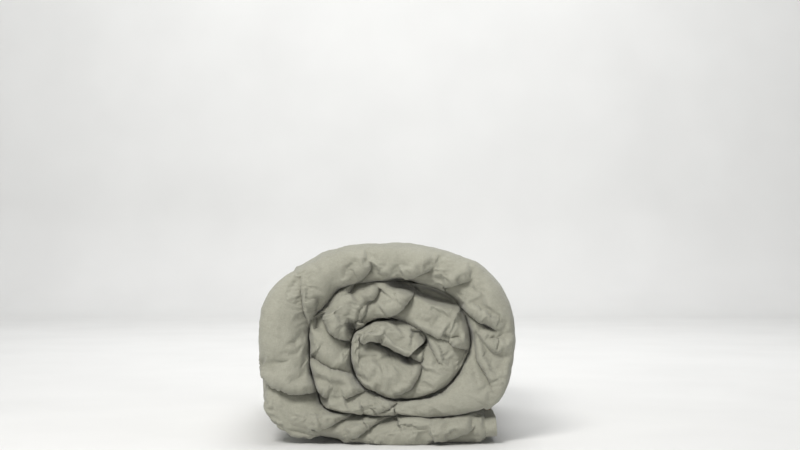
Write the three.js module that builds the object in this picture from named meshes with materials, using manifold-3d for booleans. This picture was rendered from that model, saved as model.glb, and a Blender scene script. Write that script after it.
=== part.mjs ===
// A duvet in its buttoned cover, folded once along its length and rolled up.
//
// Millimetres, +Z up, the roll's axis along Y. The origin is the middle of the footprint, on the floor.
// Seen from the front (-Y), the band starts with its tail on the floor at the right, runs left along the
// floor, up the left side, over the top, and winds clockwise into the core. The front end of the roll
// shows the fold, and the back end shows the side seams of the cover.
//
// After the tail, the outer turn is cut into short lengths that hinge on the band's outer face, so that
// the duvet can be partly unrolled.
import * as THREE from "three";
import Module from "manifold-3d";
import { mergeVertices } from "three/addons/utils/BufferGeometryUtils.js";

const wasm = await Module();
wasm.setup();

// ---- overall sizes ----
const ROLL_WIDTH = 468; // across the roll, in X
const ROLL_HEIGHT = 358; // less than its width, because soft layers press each other flat
const ROLL_LENGTH = 700; // half the duvet's 1400 mm width, because it is folded once
const PITCH = 86; // thickness of the folded duvet at the sides of the roll

// ---- the spiral's character ----
const SQUARENESS = 2.5; // superellipse exponent: 2 is round, more is squarer
const CORE_SAG = 33; // how far the core sinks into the layers under it
const SAG_BELOW = 104; // where it sinks most, below the spiral's centre before flattening
const SAG_REACH = 82;
const FLOOR_SOFTNESS = 8; // height over which the outside rounds off onto the floor
const LIFT_ANGLE = -262; // degrees wound, clockwise from the right: where the band leaves the floor
const CORE_RADIUS = 44; // how far from the middle of the core the band ends

// ---- the tail, flat on the floor ----
const TAIL_ANGLE = -320; // its end, given by the place of the turn above it
const TAIL_SHORT = 44; // how far in from the roll's right side its end lies
const TAIL_THICKNESS = 60; // it is not pressed quite full by the turn above
const TAIL_SECTIONS = 3;

// ---- the hairpin in the core: the band's end folds back on itself about a slanting crease ----
// Its ends are given in degrees back from the band's end, and by their distance from the middle.
const CREASE_MOUTH = { back: 279, radius: 31 };
const CREASE_CLOSED = { back: 161, radius: 47 };
const CREASE_WIDTH = 4;
const CREASE_STRETCHES = [345, 305, 205, 115]; // in, along, round the closed end, and back along

// ---- walls and clearances ----
const COVER_WALL = 1.2; // woven cover with its seam allowances
const SHELL_WALL = 1.0; // the insert's downproof shell
const PLY_GAP = 0.5; // cover to shell, and shell to filling
const FOLD_GAP = 3; // between the two halves of the folded duvet
const TURN_GAP = 1.5; // between one turn of the roll and the next
const CUT_GAP = 0.6; // between two lengths that meet at a hinge
const SEAM_GAP = 1.2; // between the cover's two panels at a seam

// ---- fold and edges ----
const NOSE_DEPTH = 42; // how far the rounded fold stands out at the front
const EDGE_DEPTH = 16; // the same for each half's side seam at the back
const NOSE_STEPS = 5;
const EDGE_STEPS = 2;
const SLIT_STEPS = 2;

// ---- unrolling ----
const HINGES = 7;
const UNROLL_ANGLE = -158; // degrees wound at the last hinge; the first is where the band lifts
const BEND_WEIGHT = 120; // a radian of bend counts as this much length, so hinges crowd at corners
const SECTION_ANGLE = 25; // between sections where there is no hinge

// ---- quilting: the insert's filling lies in rows of pockets ----
const ROLL_POCKETS = 9; // rows in the part of the insert past the last hinge
const STITCH_GAP = 0.8;
const END_ROOM = 16; // the insert is shorter than its cover by this much at each end

// ---- the cover's opening, at the tail ----
const TAPER = 44; // over which the cover's two plies come together
const TAPER_KNEES = [0, 0.36, 0.68, 1]; // where its rounded slope bends, as shares of it
const FLANGE = 18; // how far the closed hems stand out past the filling
const HEM_WALL = 1.5;
const HEM_GAP = 0.4; // between the button band and the buttonhole band
const HEM_INSET = 34; // the hems stop this far short of the side seams
const BUTTONS_PER_HALF = 3;
const BUTTON_RADIUS = 6.5;
const BUTTON_THICKNESS = 2.4;
const BUTTON_RIM = 0.6;
const BUTTON_SIDES = 16;
const HOLE_RADIUS = 0.9;
const HOLE_SPACING = 1.7; // from the button's middle
const HOLE_SIDES = 6;
const BUTTON_STANDOFF = 0.5; // thread between the button and the cloth
const TIE_WIDTH = 5;
const TIE_WALL = 1.0;
const TIE_LENGTH = 44;
const LABEL_WIDTH = 14;
const LABEL_LENGTH = 24;
const LABEL_WALL = 0.8;

// ---- values that follow from those ----
const TURN = 360;
const OUTER_RADIUS = (ROLL_WIDTH - PITCH / 2) / 2;
const CENTRE_X = OUTER_RADIUS + PITCH / 2 - ROLL_WIDTH / 2;
const CORE_ANGLE = ((OUTER_RADIUS - CORE_RADIUS) / PITCH) * 360; // degrees wound at the band's end
const TAIL_REACH = ROLL_WIDTH / 2 - TAIL_SHORT;
const DEEPEST = OUTER_RADIUS + 0.75 * PITCH; // the unflattened spiral's reach below its centre
const HIGHEST = OUTER_RADIUS + 0.25 * PITCH;
const FLATTEN = ROLL_HEIGHT / (DEEPEST + HIGHEST);
const FRONT = -ROLL_LENGTH / 2;
const BACK = ROLL_LENGTH / 2;
const SHELL_INSET = COVER_WALL + PLY_GAP;
const FILLING_INSET = SHELL_INSET + SHELL_WALL + PLY_GAP;
const HEM_ROOM = HEM_WALL + HEM_GAP / 2;

const { lerp, degToRad, radToDeg, clamp } = THREE.MathUtils;
const point = (x, z) => new THREE.Vector2(x, z);
const range = (count, f) => Array.from({ length: count }, (_, i) => f(i));
const share = (value, from, to) => clamp((value - from) / (to - from), 0, 1);

// ---- the spiral ----
// A point (x, z) of the squashed roll, by its direction in degrees clockwise and its distance from the
// middle before squashing.
function place(angle, radius) {
  const squared = (v) => Math.sign(v) * Math.abs(v) ** (2 / SQUARENESS);
  const x = CENTRE_X + radius * squared(Math.cos(degToRad(angle)));
  const height = -radius * squared(Math.sin(degToRad(angle)));
  const sag = CORE_SAG * Math.exp(-(((height + SAG_BELOW) / SAG_REACH) ** 2));
  const raised = FLATTEN * (height + DEEPEST) - sag;
  return point(x, raised * (1 - Math.exp(-raised / FLOOR_SOFTNESS)));
}

// The curve that the band's outer face follows, by degrees wound.
const spiral = (angle) => place(angle, OUTER_RADIUS - (PITCH * angle) / TURN);

// The same with the tail laid flat on the floor.
function outerCurve(angle) {
  if (angle >= LIFT_ANGLE) return spiral(angle);
  return point(lerp(TAIL_REACH, spiral(LIFT_ANGLE).x, share(angle, TAIL_ANGLE, LIFT_ANGLE)), 0);
}

// The crease that the last turn folds about: in from the turn's start, along one side, round the
// closed end, and back along the other side.
const [creaseStart, creaseMouth, creaseTurn, creaseBack] = CREASE_STRETCHES.map(
  (back) => CORE_ANGLE - back,
);
const mouth = place(CORE_ANGLE - CREASE_MOUTH.back, CREASE_MOUTH.radius);
const closed = place(CORE_ANGLE - CREASE_CLOSED.back, CREASE_CLOSED.radius);

function crease(angle) {
  const along = mouth.clone().sub(closed).normalize();
  const aside = point(along.y, -along.x).multiplyScalar(CREASE_WIDTH / 2);
  const onSide = (end, side) => end.clone().addScaledVector(aside, side);
  if (angle < creaseMouth) {
    return spiral(creaseStart + TURN).lerp(onSide(mouth, 1), share(angle, creaseStart, creaseMouth));
  }
  if (angle < creaseTurn) {
    return onSide(mouth, 1).lerp(onSide(closed, 1), share(angle, creaseMouth, creaseTurn));
  }
  if (angle < creaseBack) {
    const swing = Math.PI * share(angle, creaseTurn, creaseBack);
    const round = closed.clone().addScaledVector(aside, Math.cos(swing));
    return round.addScaledVector(along, (-CREASE_WIDTH / 2) * Math.sin(swing));
  }
  return onSide(closed, -1).lerp(onSide(mouth, -1), share(angle, creaseBack, CORE_ANGLE));
}

// The curve of the band's inner face: just short of the next turn, or of the crease in the core.
function innerCurve(angle) {
  if (angle > creaseStart) return crease(angle);
  const outer = outerCurve(angle);
  const next = spiral(angle + TURN);
  const room = outer.distanceTo(next) - TURN_GAP;
  const thickness = angle < LIFT_ANGLE ? Math.min(room, TAIL_THICKNESS) : room;
  return outer.clone().lerp(next, thickness / outer.distanceTo(next));
}

// ---- sections: the angles where the faceted band bends ----
// The hinges share out the length and the bend between the first and the last.
const hingeAngles = (() => {
  const step = 0.05;
  const places = range(Math.round((UNROLL_ANGLE - LIFT_ANGLE) / step) + 1, (i) => LIFT_ANGLE + i * step);
  let run = 0;
  const runs = places.map((angle) => {
    const [a, b, c] = [-1, 0, 1].map((i) => spiral(angle + i * step));
    const before = run;
    run += c.distanceTo(b) + BEND_WEIGHT * b.clone().sub(a).angleTo(c.clone().sub(b));
    return before;
  });
  return range(HINGES, (i) => places[runs.findIndex((r) => r >= (runs.at(-1) * i) / (HINGES - 1))]);
})();

// Every turn repeats the first turn's sections, so that facing turns have facing facets.
const firstTurn = (() => {
  const tail = range(TAIL_SECTIONS, (i) => lerp(TAIL_ANGLE, LIFT_ANGLE, i / TAIL_SECTIONS));
  const last = hingeAngles.at(-1);
  const end = TAIL_ANGLE + TURN;
  const count = Math.round((end - last) / SECTION_ANGLE);
  const rest = range(count - 1, (i) => lerp(last, end, (i + 1) / count));
  return [...tail, ...hingeAngles, ...rest];
})();
const turns = Math.ceil((CORE_ANGLE - TAIL_ANGLE) / TURN);
const sections = range(turns + 1, (turn) => firstTurn.map((angle) => angle + turn * TURN)).flat();
const corners = sections.map((angle) => ({ outer: outerCurve(angle), inner: innerCurve(angle) }));

// A place along the faceted band: its outer and inner points.
function station(angle) {
  const i = clamp(sections.findLastIndex((section) => section <= angle), 0, sections.length - 2);
  const along = (angle - sections[i]) / (sections[i + 1] - sections[i]);
  return {
    outer: corners[i].outer.clone().lerp(corners[i + 1].outer, along),
    inner: corners[i].inner.clone().lerp(corners[i + 1].inner, along),
    taper: 0,
  };
}

// How far to wind to move a distance along the outer face.
function windingOf(angle, distance) {
  const probe = 0.5;
  return (distance * 2 * probe) / station(angle + probe).outer.distanceTo(station(angle - probe).outer);
}

// The stations from one angle to another: both ends and the sections between them.
function stationsBetween(start, end) {
  const nearest = 0.02;
  const inside = sections.filter((angle) => angle > start + nearest && angle < end - nearest);
  return [start, ...inside, end].map(station);
}

// ---- the folded band's cross-section, in (y, t): t runs from the outer face to the inner face ----
function arc(centre, radii, from, to, steps) {
  return range(steps + 1, (i) => {
    const a = degToRad(lerp(from, to, i / steps));
    return [centre[0] + radii[0] * Math.cos(a), centre[1] + radii[1] * Math.sin(a)];
  });
}

// The outline of a layer that lies at a depth inside the cloth's outer surface. It is a U on its side:
// the face goes round the outside, and the reverse lines the gap between the two halves.
function outline(thickness, layer, taper) {
  const half = (thickness - FOLD_GAP) / 2;
  const depth = layer + taper * (half / 2 - HEM_ROOM - COVER_WALL);
  const far = thickness - half / 2;
  const seam = radToDeg(SEAM_GAP / half);
  const edgeRadii = [EDGE_DEPTH - layer, half / 2 - depth];
  const edge = (t, from, to) => arc([BACK - EDGE_DEPTH, t], edgeRadii, from, to, EDGE_STEPS);
  const noseCentre = [FRONT + NOSE_DEPTH, thickness / 2];
  const nose = arc(noseCentre, [NOSE_DEPTH - depth, thickness / 2 - depth], 270, 90, NOSE_STEPS);
  const slitRadius = FOLD_GAP / 2 + depth;
  const slitCentre = [FRONT + half + FOLD_GAP / 2, thickness / 2];
  const slit = arc(slitCentre, [slitRadius, slitRadius], 90, 270, SLIT_STEPS);
  return {
    face: [...edge(half / 2, -seam, -90), ...nose, ...edge(far, 90, seam)],
    reverse: [...edge(far, -seam, -90), ...slit, ...edge(half / 2, 90, seam)],
  };
}

// Cross-sections: a ring of points, and a hole or none. A strip runs out along one side of its cloth
// and back along the other from its point number turnAt on.
const strip = (side) => (thickness, taper) => {
  const outside = outline(thickness, 0, taper)[side];
  const inside = outline(thickness, COVER_WALL, taper)[side];
  return { ring: [...outside, ...inside.reverse()], turnAt: outside.length, hole: [] };
};
const layerRing = (thickness, layer, taper) => {
  const { face, reverse } = outline(thickness, layer, taper);
  return [...face, ...reverse];
};
const tube = (thickness, taper) => ({
  ring: layerRing(thickness, SHELL_INSET, taper),
  hole: layerRing(thickness, SHELL_INSET + SHELL_WALL, taper),
});
const block = (thickness, taper) => ({ ring: layerRing(thickness, FILLING_INSET, taper), hole: [] });

// ---- solids ----
// A closed geometry from shared vertices, with its faces turned outwards.
function solid(vertices, faces) {
  const corner = (i) => new THREE.Vector3().fromArray(vertices, 3 * i);
  let volume = 0;
  for (let i = 0; i < faces.length; i += 3) {
    volume += corner(faces[i]).dot(corner(faces[i + 1]).cross(corner(faces[i + 2])));
  }
  const geometry = new THREE.BufferGeometry();
  geometry.setAttribute("position", new THREE.Float32BufferAttribute(vertices, 3));
  geometry.setIndex(volume < 0 ? faces.toReversed() : faces);
  return geometry;
}

// The side wall of a loft: each ring of points is joined to the next one. Points that run backwards
// are joined by the other diagonal, so that layers that lie on each other keep the same facets.
function wall(rings, first, count, turnAt, inward) {
  const faces = [];
  for (let s = 0; s + 1 < rings.length; s++) {
    for (let i = 0; i < count; i++) {
      const j = (i + 1) % count;
      const [a, b] = [rings[s][first + i], rings[s][first + j]];
      const [c, d] = [rings[s + 1][first + i], rings[s + 1][first + j]];
      const pair = i < turnAt ? [a, c, b, b, c, d] : [a, c, d, a, d, b];
      faces.push(...(inward ? pair.reverse() : pair));
    }
  }
  return faces;
}

// The end of a loft: its outline filled in, turned to match the side wall.
function cap(shape, indices, atEnd) {
  const loops = [shape.ring, shape.hole].map((loop) => loop.map(([y, t]) => point(y, t)));
  const points = loops.flat();
  const clockwise = THREE.ShapeUtils.isClockWise(loops[0]);
  const turned = clockwise ? loops[0].toReversed() : loops[0];
  const order = loops[0].map((_, i) => (clockwise ? loops[0].length - 1 - i : i));
  const holeOrder = loops[1].map((_, i) => loops[0].length + i);
  const all = [...order, ...holeOrder];
  const triangles = THREE.ShapeUtils.triangulateShape([...turned], loops[1].length ? [[...loops[1]]] : []);
  return triangles.flatMap((corner) => {
    const [i, j, k] = corner.map((index) => all[index]);
    const flipped = THREE.ShapeUtils.isClockWise([points[i], points[j], points[k]]) !== clockwise;
    return (flipped !== atEnd ? [i, k, j] : [i, j, k]).map((index) => indices[index]);
  });
}

// A cross-section carried along the band's stations, closed at both ends.
function loft(stations, profile) {
  const vertices = [];
  const shapes = stations.map(({ outer, inner, taper }) => profile(outer.distanceTo(inner), taper));
  const rings = stations.map(({ outer, inner }, s) => {
    const thickness = outer.distanceTo(inner);
    return [...shapes[s].ring, ...shapes[s].hole].map(([y, t]) => {
      const at = outer.clone().lerp(inner, t / thickness);
      return vertices.push(at.x, y, at.y) / 3 - 1;
    });
  });
  const { ring, turnAt = ring.length, hole } = shapes[0];
  return solid(vertices, [
    ...wall(rings, 0, ring.length, turnAt, false),
    ...wall(rings, ring.length, hole.length, hole.length, true),
    ...cap(shapes[0], rings[0], false),
    ...cap(shapes.at(-1), rings.at(-1), true),
  ]);
}

// ---- materials ----
const LINEN = { color: 0xa5a491, roughness: 0.9, metalness: 0 };
const LINEN_REVERSE = { color: 0x9d9c89, roughness: 0.9, metalness: 0 };
const SHELL_CLOTH = { color: 0xefeee9, roughness: 0.75, metalness: 0 };
const FILLING = { color: 0xf6f4ee, roughness: 1, metalness: 0 };
const BUTTON = { color: 0x8b8672, roughness: 0.45, metalness: 0 };
const TAPE = { color: 0xb4b2a2, roughness: 0.9, metalness: 0 };

const duvet = new THREE.Group();

function add(name, geometry, material, parent = duvet) {
  const mesh = new THREE.Mesh(geometry, new THREE.MeshStandardMaterial(material));
  mesh.name = name;
  parent.add(mesh);
  return mesh;
}

// ---- the tail: its cover comes together at the opening ----
const tailLength = TAIL_REACH - outerCurve(LIFT_ANGLE).x;
const tailAngle = (distance) => lerp(TAIL_ANGLE, LIFT_ANGLE, distance / tailLength);
const afterCut = (angle) => angle + windingOf(angle + 1, CUT_GAP / 2);
const beforeCut = (angle) => angle - windingOf(angle - 1, CUT_GAP / 2);

// How far the plies have come together at a distance in from the tail's end, from 1 to 0.
function taperAt(distance) {
  const along = distance / TAPER;
  const i = TAPER_KNEES.findLastIndex((knee) => knee <= along);
  const [from, to] = [TAPER_KNEES[i], TAPER_KNEES[i + 1]];
  return lerp((1 - from) ** 2, (1 - to) ** 2, share(along, from, to));
}

// Stations from a distance in from the tail's end up to the first hinge.
function tailStations(inset) {
  const knees = TAPER_KNEES.slice(0, -1).map((knee) => knee * TAPER);
  return [
    ...[inset, ...knees.filter((distance) => distance > inset)].map((distance) => ({
      ...station(tailAngle(distance)),
      taper: taperAt(distance),
    })),
    ...stationsBetween(tailAngle(TAPER), beforeCut(LIFT_ANGLE)),
  ];
}

add("cover_face_tail", loft(tailStations(0), strip("face")), LINEN);
add("cover_reverse_tail", loft(tailStations(0), strip("reverse")), LINEN_REVERSE);
add("insert_shell_tail", loft(tailStations(END_ROOM), tube), SHELL_CLOTH);
add("filling_tail", loft(tailStations(END_ROOM + SHELL_WALL), block), FILLING);

// ---- the hinged lengths and the roll ----
for (let i = 0; i + 1 < HINGES; i++) {
  const stations = stationsBetween(afterCut(hingeAngles[i]), beforeCut(hingeAngles[i + 1]));
  add(`cover_face_length_${i + 1}`, loft(stations, strip("face")), LINEN);
  add(`cover_reverse_length_${i + 1}`, loft(stations, strip("reverse")), LINEN_REVERSE);
  add(`insert_shell_length_${i + 1}`, loft(stations, tube), SHELL_CLOTH);
  add(`filling_length_${i + 1}`, loft(stations, block), FILLING);
}

const rollStart = afterCut(hingeAngles.at(-1));
const insertEnd = CORE_ANGLE - windingOf(CORE_ANGLE, END_ROOM);
add("cover_face_roll", loft(stationsBetween(rollStart, CORE_ANGLE), strip("face")), LINEN);
add("cover_reverse_roll", loft(stationsBetween(rollStart, CORE_ANGLE), strip("reverse")), LINEN_REVERSE);
add("insert_shell_roll", loft(stationsBetween(rollStart, insertEnd), tube), SHELL_CLOTH);

// The rows of stitching lie at sections, one thread's width across.
const nearestSection = (wanted) =>
  sections.reduce((best, angle) => (Math.abs(angle - wanted) < Math.abs(best - wanted) ? angle : best));
const stitching = range(ROLL_POCKETS - 1, (i) =>
  nearestSection(lerp(rollStart, insertEnd, (i + 1) / ROLL_POCKETS)),
);
const pocketStarts = [rollStart, ...stitching.map((angle) => angle + windingOf(angle + 1, STITCH_GAP / 2))];
const pocketStops = [
  ...stitching.map((angle) => angle - windingOf(angle - 1, STITCH_GAP / 2)),
  insertEnd - windingOf(insertEnd, SHELL_WALL),
];
pocketStarts.forEach((start, i) => {
  add(`filling_pocket_${i + 1}`, loft(stationsBetween(start, pocketStops[i]), block), FILLING);
});

// ---- the hems at the opening: the buttonhole band lies outside the button band ----
// The opening has a frame of its own: X runs out of the tail, and Z runs across its thickness.
const tailEnd = station(TAIL_ANGLE);
const tailAcross = tailEnd.inner.clone().sub(tailEnd.outer);
const tailThickness = tailAcross.length();
const opening = new THREE.Group();
opening.position.set(tailEnd.outer.x, 0, tailEnd.outer.y);
opening.rotation.y = Math.atan2(tailAcross.x, tailAcross.y);
duvet.add(opening);

const halfThickness = (tailThickness - FOLD_GAP) / 2;
const holeBandDepth = halfThickness / 2 - HEM_GAP / 2 - HEM_WALL;
const buttonBandDepth = halfThickness / 2 + HEM_GAP / 2;

function hemBand(depth) {
  const centre = [FRONT + NOSE_DEPTH, tailThickness / 2];
  const side = (d) => [
    [BACK - HEM_INSET, d],
    ...arc(centre, [NOSE_DEPTH - d, tailThickness / 2 - d], 270, 90, NOSE_STEPS),
    [BACK - HEM_INSET, tailThickness - d],
  ];
  const ring = [...side(depth), ...side(depth + HEM_WALL).reverse()];
  const stations = [PLY_GAP, FLANGE].map((x) => ({
    outer: point(x, 0),
    inner: point(x, tailThickness),
    taper: 0,
  }));
  return loft(stations, () => ({ ring, turnAt: ring.length / 2, hole: [] }));
}

add("buttonhole_band", hemBand(holeBandDepth), LINEN, opening);
add("button_band", hemBand(buttonBandDepth), LINEN, opening);

// ---- buttons: flat discs with a raised rim and four holes ----
function manifoldOf(geometry) {
  geometry.deleteAttribute("normal");
  geometry.deleteAttribute("uv");
  const merged = mergeVertices(geometry);
  const vertProperties = new Float32Array(merged.attributes.position.array);
  const triVerts = new Uint32Array(merged.index.array);
  return new wasm.Manifold(new wasm.Mesh({ numProp: 3, vertProperties, triVerts }));
}

// The button lies in its own XY plane, its back at zero.
function buttonGeometry() {
  const profile = [
    point(0, 0),
    point(BUTTON_RADIUS - BUTTON_RIM, 0),
    point(BUTTON_RADIUS, BUTTON_RIM),
    point(BUTTON_RADIUS, BUTTON_THICKNESS - BUTTON_RIM),
    point(BUTTON_RADIUS - BUTTON_RIM, BUTTON_THICKNESS),
    point(BUTTON_RADIUS - 2 * BUTTON_RIM, BUTTON_THICKNESS - BUTTON_RIM),
    point(0, BUTTON_THICKNESS - BUTTON_RIM),
  ];
  let button = manifoldOf(new THREE.LatheGeometry(profile, BUTTON_SIDES).rotateX(Math.PI / 2));
  for (const [x, y] of [[1, 1], [-1, 1], [-1, -1], [1, -1]]) {
    const drill = new THREE.CylinderGeometry(HOLE_RADIUS, HOLE_RADIUS, 3 * BUTTON_THICKNESS, HOLE_SIDES);
    drill.rotateX(Math.PI / 2).translate(x * HOLE_SPACING, y * HOLE_SPACING, 0);
    button = button.subtract(manifoldOf(drill));
  }
  const mesh = button.getMesh();
  const geometry = new THREE.BufferGeometry();
  geometry.setAttribute("position", new THREE.BufferAttribute(mesh.vertProperties, 3));
  geometry.setIndex(new THREE.BufferAttribute(mesh.triVerts, 1));
  return geometry;
}

const buttonX = (PLY_GAP + FLANGE) / 2;
range(BUTTONS_PER_HALF, (i) => {
  const y = lerp(FRONT + NOSE_DEPTH, BACK - HEM_INSET, (i + 0.5) / BUTTONS_PER_HALF);
  const under = add(`button_${i + 1}`, buttonGeometry(), BUTTON, opening);
  under.rotation.x = Math.PI;
  under.position.set(buttonX, y, holeBandDepth - BUTTON_STANDOFF);
  const over = add(`button_${BUTTONS_PER_HALF + i + 1}`, buttonGeometry(), BUTTON, opening);
  over.position.set(buttonX, y, tailThickness - holeBandDepth + BUTTON_STANDOFF);
});

// ---- ties that hold the insert's corners in the cover's corners ----
// Each stands in the free room between the insert's end and the cover's end, one in each half.
function cornerTies(place, firstNumber) {
  const across = place.inner.clone().sub(place.outer);
  const thickness = across.length();
  const quarter = (thickness - FOLD_GAP) / 4;
  [quarter, thickness - quarter].forEach((t, i) => {
    const at = place.outer.clone().lerp(place.inner, t / thickness);
    const tape = new THREE.BoxGeometry(TIE_WALL, TIE_LENGTH, TIE_WIDTH);
    const tie = add(`corner_tie_${firstNumber + i}`, tape, TAPE);
    tie.position.set(at.x, BACK - EDGE_DEPTH - TIE_LENGTH / 2, at.y);
    tie.rotation.y = Math.atan2(across.x, across.y);
  });
}

cornerTies(station(tailAngle(END_ROOM / 2)), 1);
cornerTies(station(CORE_ANGLE - windingOf(CORE_ANGLE, END_ROOM / 2)), 3);

// ---- a blank care label, in the hem's back corner ----
const labelCloth = new THREE.BoxGeometry(LABEL_WIDTH, LABEL_LENGTH, LABEL_WALL);
const label = add("care_label", labelCloth, TAPE, opening);
label.position.set(PLY_GAP + LABEL_WIDTH / 2, BACK - HEM_INSET / 2, tailThickness - halfThickness / 2);

export default duvet;
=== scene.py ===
"""A rolled duvet in its cover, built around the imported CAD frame. Metres, +Z up, the roll's axis along Y."""
import math

import bpy
import numpy as np
from mathutils import Matrix, Vector


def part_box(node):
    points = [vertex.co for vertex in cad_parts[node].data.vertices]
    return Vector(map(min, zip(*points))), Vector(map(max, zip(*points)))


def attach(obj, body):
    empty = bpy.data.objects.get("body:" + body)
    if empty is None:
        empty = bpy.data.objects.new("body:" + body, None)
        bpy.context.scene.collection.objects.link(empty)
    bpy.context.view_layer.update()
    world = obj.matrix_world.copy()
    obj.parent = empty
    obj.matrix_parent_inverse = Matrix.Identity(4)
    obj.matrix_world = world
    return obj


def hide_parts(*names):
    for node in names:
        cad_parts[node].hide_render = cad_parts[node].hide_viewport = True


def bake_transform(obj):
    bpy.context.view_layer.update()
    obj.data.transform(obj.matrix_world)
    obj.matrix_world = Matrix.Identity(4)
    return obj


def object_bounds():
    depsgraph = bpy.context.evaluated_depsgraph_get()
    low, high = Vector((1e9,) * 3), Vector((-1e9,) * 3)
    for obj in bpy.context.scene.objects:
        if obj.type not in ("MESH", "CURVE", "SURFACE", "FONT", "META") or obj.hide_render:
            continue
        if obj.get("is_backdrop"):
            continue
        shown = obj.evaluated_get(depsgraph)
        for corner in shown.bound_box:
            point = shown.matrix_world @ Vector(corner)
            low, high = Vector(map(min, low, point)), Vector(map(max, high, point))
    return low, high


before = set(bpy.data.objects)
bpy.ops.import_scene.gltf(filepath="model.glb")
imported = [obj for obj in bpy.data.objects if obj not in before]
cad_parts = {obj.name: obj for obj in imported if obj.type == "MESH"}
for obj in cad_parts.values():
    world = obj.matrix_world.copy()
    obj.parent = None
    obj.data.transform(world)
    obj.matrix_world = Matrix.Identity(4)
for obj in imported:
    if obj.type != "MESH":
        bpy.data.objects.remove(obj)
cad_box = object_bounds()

# ---- the band's shape: the same values as the CAD source, in metres ----
ROLL_WIDTH = 0.468
ROLL_HEIGHT = 0.358
ROLL_LENGTH = 0.700
PITCH = 0.086
SQUARENESS = 2.5
CORE_SAG = 0.033
SAG_BELOW = 0.104
SAG_REACH = 0.082
FLOOR_SOFTNESS = 0.008
LIFT_ANGLE = -262.0
CORE_RADIUS = 0.044
TAIL_ANGLE = -320.0
TAIL_SHORT = 0.044
TAIL_THICKNESS = 0.060
MOUTH_BACK, MOUTH_RADIUS = 279.0, 0.031
CLOSED_BACK, CLOSED_RADIUS = 161.0, 0.047
CREASE_WIDTH = 0.004
CREASE_STRETCHES = (345.0, 305.0, 205.0, 115.0)
FOLD_GAP = 0.003
TURN_GAP = 0.0015
NOSE_DEPTH = 0.042
HINGE_ANGLES = (-262.0, -245.90, -221.60, -202.95, -188.75, -175.25, -158.00)
HEM_WALL = 0.0015
HEM_GAP = 0.0004
HEM_INSET = 0.034
FLANGE = 0.018
TAPER = 0.044

OUTER_RADIUS = (ROLL_WIDTH - PITCH / 2) / 2
CENTRE_X = OUTER_RADIUS + PITCH / 2 - ROLL_WIDTH / 2
CORE_ANGLE = (OUTER_RADIUS - CORE_RADIUS) / PITCH * 360
TAIL_REACH = ROLL_WIDTH / 2 - TAIL_SHORT
DEEPEST = OUTER_RADIUS + 0.75 * PITCH
HIGHEST = OUTER_RADIUS + 0.25 * PITCH
FLATTEN = ROLL_HEIGHT / (DEEPEST + HIGHEST)
FRONT = -ROLL_LENGTH / 2
BACK = ROLL_LENGTH / 2

# ---- the cloth's own shape ----
STATION_STEP = 0.0030  # along the band
NOSE_SQUARENESS = (2.0, 3.3)  # the fold's section varies between an ellipse and a fuller one
FULLNESS_WAVE = 0.07  # over which it varies, along the band
NOSE_STANDS = 0.006  # how far the fold stands out or falls back along the band
NOSE_STANDS_WAVE, NOSE_STANDS_REACH = 0.11, 0.20  # over which it does, along the band and behind the front
SEAM_DEPTH = 0.042  # over which each half narrows to its side seam at the back
SEAM_POINT = 1.35  # superellipse exponent of the side seams: under 2 is pointed
EDGE_STEPS = 4
NOSE_STEPS = 52
OUTER_ROWS, INNER_ROWS = (0.006, 0.016), (0.008, 0.024)  # how far apart rows are at the fold, and at most
ROW_GROWTH = 1.12  # from each row to the next
SLIT_END = 0.050  # how far behind the fold the two halves part
SLIT_STEPS, SLIT_TURN = 10, 9  # ring places on each side of the gap between the halves, and round its end
CUT_BESIDE = 0.040  # how far before the first hinge and after the last one the strips are cut


def running(steps):
    return np.concatenate([[0], np.cumsum(steps)])


def smoothstep(value, start, end):
    share = np.clip((value - start) / (end - start), 0, 1)
    return share * share * (3 - 2 * share)


# ---- noise: smooth random numbers on a lattice, the same each run ----
NOISE_TABLE = np.random.default_rng(11).uniform(-1, 1, (64, 64))


def noise(u, v, layer=0):
    """Smooth noise between about -1 and 1, one bump per unit."""
    u, v = u + 17.3 * layer, v + 9.1 * layer
    cell_u, cell_v = np.floor(u).astype(int), np.floor(v).astype(int)
    in_u, in_v = smoothstep(u - cell_u, 0, 1), smoothstep(v - cell_v, 0, 1)

    def corner(i, j):
        return NOISE_TABLE[(cell_u + i) % 64, (cell_v + j) % 64]

    low = corner(0, 0) * (1 - in_u) + corner(1, 0) * in_u
    high = corner(0, 1) * (1 - in_u) + corner(1, 1) * in_u
    return low * (1 - in_v) + high * in_v


# ---- the spiral, as in the CAD source ----
def place(angle, radius):
    turn = np.radians(angle)
    x = CENTRE_X + radius * np.sign(np.cos(turn)) * np.abs(np.cos(turn)) ** (2 / SQUARENESS)
    height = -radius * np.sign(np.sin(turn)) * np.abs(np.sin(turn)) ** (2 / SQUARENESS)
    sag = CORE_SAG * np.exp(-(((height + SAG_BELOW) / SAG_REACH) ** 2))
    raised = FLATTEN * (height + DEEPEST) - sag
    return np.stack([x, raised * (1 - np.exp(-raised / FLOOR_SOFTNESS))], -1)


def spiral(angle):
    return place(angle, OUTER_RADIUS - PITCH * angle / 360)


def outer_curve(angle):
    lift_x = spiral(np.array(LIFT_ANGLE))[0]
    along = np.clip((angle - TAIL_ANGLE) / (LIFT_ANGLE - TAIL_ANGLE), 0, 1)
    flat = np.stack([TAIL_REACH + (lift_x - TAIL_REACH) * along, np.zeros_like(angle)], -1)
    return np.where((angle < LIFT_ANGLE)[..., None], flat, spiral(angle))


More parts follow.
